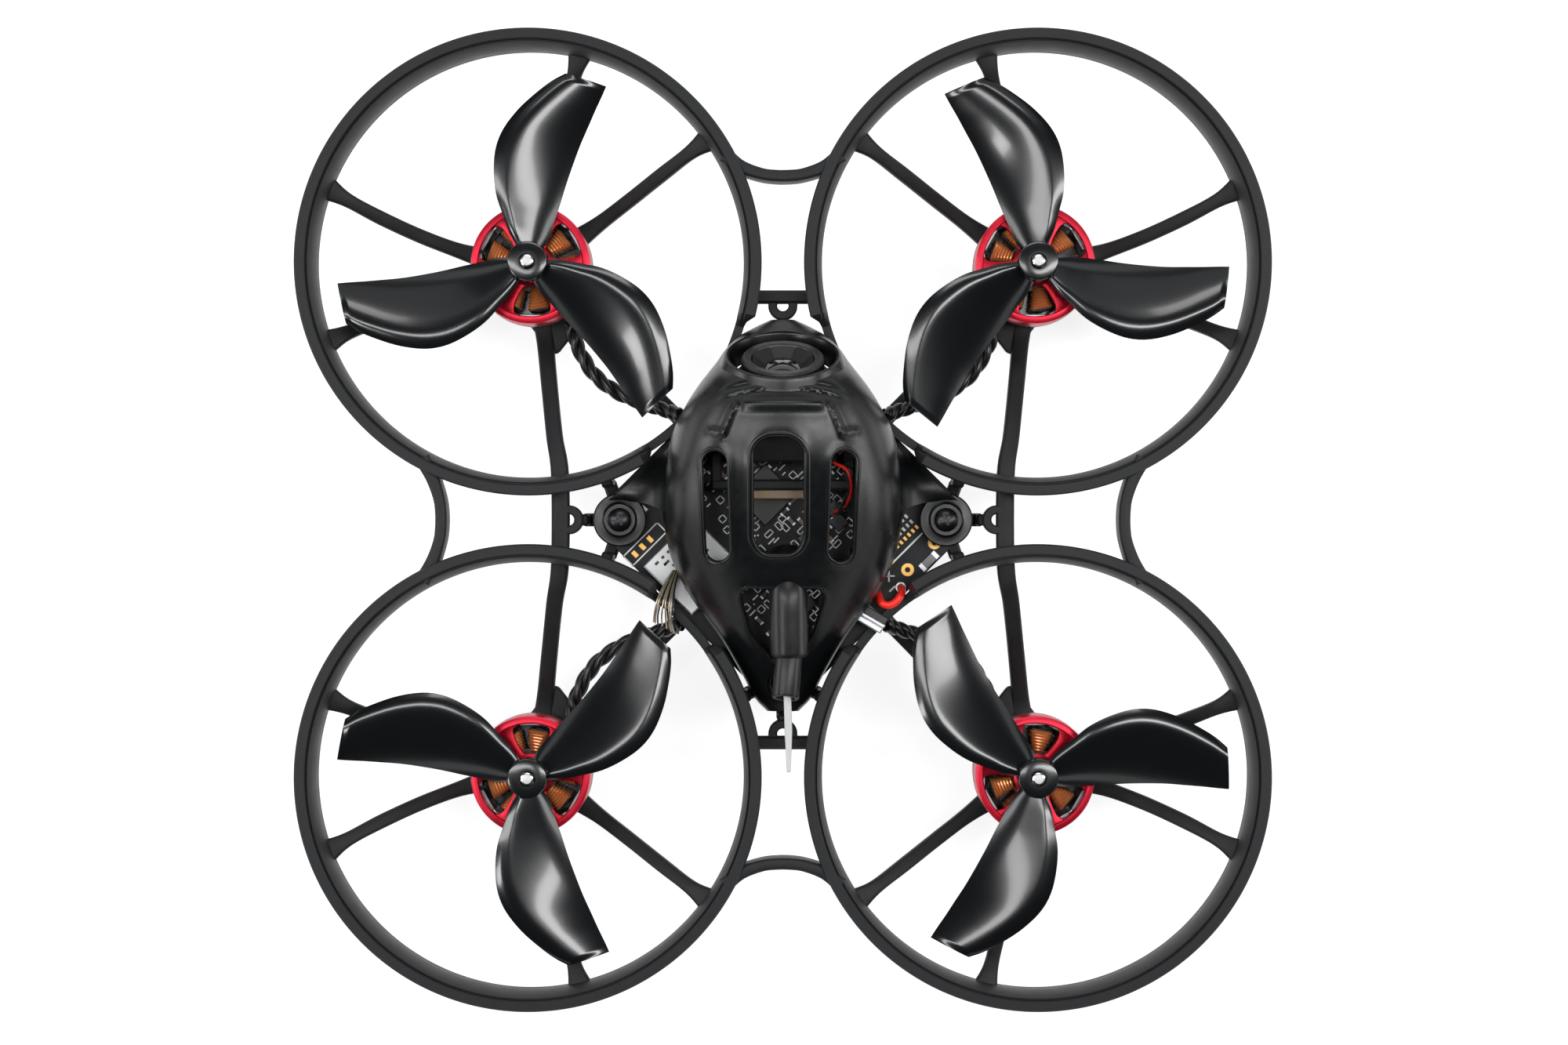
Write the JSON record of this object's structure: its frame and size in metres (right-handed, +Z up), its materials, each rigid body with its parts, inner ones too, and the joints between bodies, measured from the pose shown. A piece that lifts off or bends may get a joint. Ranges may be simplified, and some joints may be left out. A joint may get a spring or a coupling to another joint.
{
  "type": "fpv racing drone",
  "caption": "Small ducted FPV racing drone: one-piece ring-duct frame, red brushless motors with three-blade propellers, black canopy with tilted camera, rear antenna.",
  "frame": {"origin": "middle of the airframe, on the surface that it stands on (underside of the battery tray)", "axes": "+X to the right, +Y forward out of the nose and camera, +Z up along the motor shafts"},
  "size_m": [0.109, 0.1096, 0.0322],
  "materials": {
    "moulded_nylon_black": "satin moulded black nylon",
    "canopy_polypropylene_black": "matt moulded black",
    "propeller_polycarbonate_black": "glossy black",
    "anodised_aluminium_red": "red anodised, satin",
    "shaft_steel": "ground steel",
    "winding_copper": "enamelled copper wire",
    "magnet_nickel": "nickel plated",
    "blackened_aluminium": "black anodised",
    "screw_black_oxide": "black oxide",
    "rubber_black": "matt",
    "solder_mask_black": "black solder mask",
    "shield_white": "white label on a metal can",
    "tinned_wire": "fine tinned wire",
    "connector_nickel": "nickel plated",
    "silicone_red": "silicone sleeve",
    "silicone_black": "silicone sleeve",
    "plug_nylon_black": "moulded",
    "lens_glass": "coated lens",
    "antenna_white": "white sleeve",
    "button_plastic": "moulded"
  },
  "bodies": {
    "airframe": {"frame": "moulded_nylon_black", "canopy": "canopy_polypropylene_black", "flight_controller_board": "solder_mask_black", "receiver_shield": "shield_white", "receiver_wires": "tinned_wire", "usb_socket": "connector_nickel", "button_housing": "plug_nylon_black", "power_lead_red": "silicone_red", "power_lead_black": "silicone_black", "power_plug": "plug_nylon_black", "antenna_sleeve": "rubber_black", "antenna_element": "antenna_white", "camera_bracket": "moulded_nylon_black", "camera_screw_left": "screw_black_oxide", "camera_screw_right": "screw_black_oxide", "camera_cable": "silicone_red", "damper_front": "rubber_black", "mount_screw_front": "screw_black_oxide", "damper_rear": "rubber_black", "mount_screw_rear": "screw_black_oxide", "damper_left": "rubber_black", "mount_screw_left": "screw_black_oxide", "damper_right": "rubber_black", "mount_screw_right": "screw_black_oxide", "motor_base_front_left": "blackened_aluminium", "stator_front_left": "winding_copper", "motor_wires_front_left": "silicone_black", "motor_base_front_right": "blackened_aluminium", "stator_front_right": "winding_copper", "motor_wires_front_right": "silicone_black", "motor_base_rear_left": "blackened_aluminium", "stator_rear_left": "winding_copper", "motor_wires_rear_left": "silicone_black", "motor_base_rear_right": "blackened_aluminium", "stator_rear_right": "winding_copper", "motor_wires_rear_right": "silicone_black"},
    "rotor_front_left": {"bell_front_left": "anodised_aluminium_red", "magnet_ring_front_left": "magnet_nickel", "motor_shaft_front_left": "shaft_steel", "prop_front_left": "propeller_polycarbonate_black"},
    "rotor_front_right": {"bell_front_right": "anodised_aluminium_red", "magnet_ring_front_right": "magnet_nickel", "motor_shaft_front_right": "shaft_steel", "prop_front_right": "propeller_polycarbonate_black"},
    "rotor_rear_left": {"bell_rear_left": "anodised_aluminium_red", "magnet_ring_rear_left": "magnet_nickel", "motor_shaft_rear_left": "shaft_steel", "prop_rear_left": "propeller_polycarbonate_black"},
    "rotor_rear_right": {"bell_rear_right": "anodised_aluminium_red", "magnet_ring_rear_right": "magnet_nickel", "motor_shaft_rear_right": "shaft_steel", "prop_rear_right": "propeller_polycarbonate_black"},
    "camera": {"camera_body": "plug_nylon_black", "camera_lens_ring": "blackened_aluminium", "camera_glass": "lens_glass"},
    "bind_button": {"bind_button": "button_plastic"}
  },
  "joints": [
    {"name": "front_left_rotor_spin", "type": "hinge", "parent": "airframe", "child": "rotor_front_left", "pos_m": [-0.0284, 0.02875, 0.018], "axis": [0, 0, 1], "continuous": true},
    {"name": "front_right_rotor_spin", "type": "hinge", "parent": "airframe", "child": "rotor_front_right", "pos_m": [0.0284, 0.02875, 0.018], "axis": [0, 0, 1], "continuous": true},
    {"name": "rear_left_rotor_spin", "type": "hinge", "parent": "airframe", "child": "rotor_rear_left", "pos_m": [-0.0284, -0.02875, 0.018], "axis": [0, 0, 1], "continuous": true},
    {"name": "rear_right_rotor_spin", "type": "hinge", "parent": "airframe", "child": "rotor_rear_right", "pos_m": [0.0284, -0.02875, 0.018], "axis": [0, 0, 1], "continuous": true},
    {"name": "camera_tilt", "type": "hinge", "parent": "airframe", "child": "camera", "pos_m": [0, 0.0108, 0.0221], "axis": [1, 0, 0], "range_deg": [-6, 6]},
    {"name": "bind_button_press", "type": "slide", "parent": "airframe", "child": "bind_button", "axis": [0, 0, 1], "range_m": [0, 0.00025], "stiffness_N_per_m": 800, "springref_m": -0.0002}
  ]
}
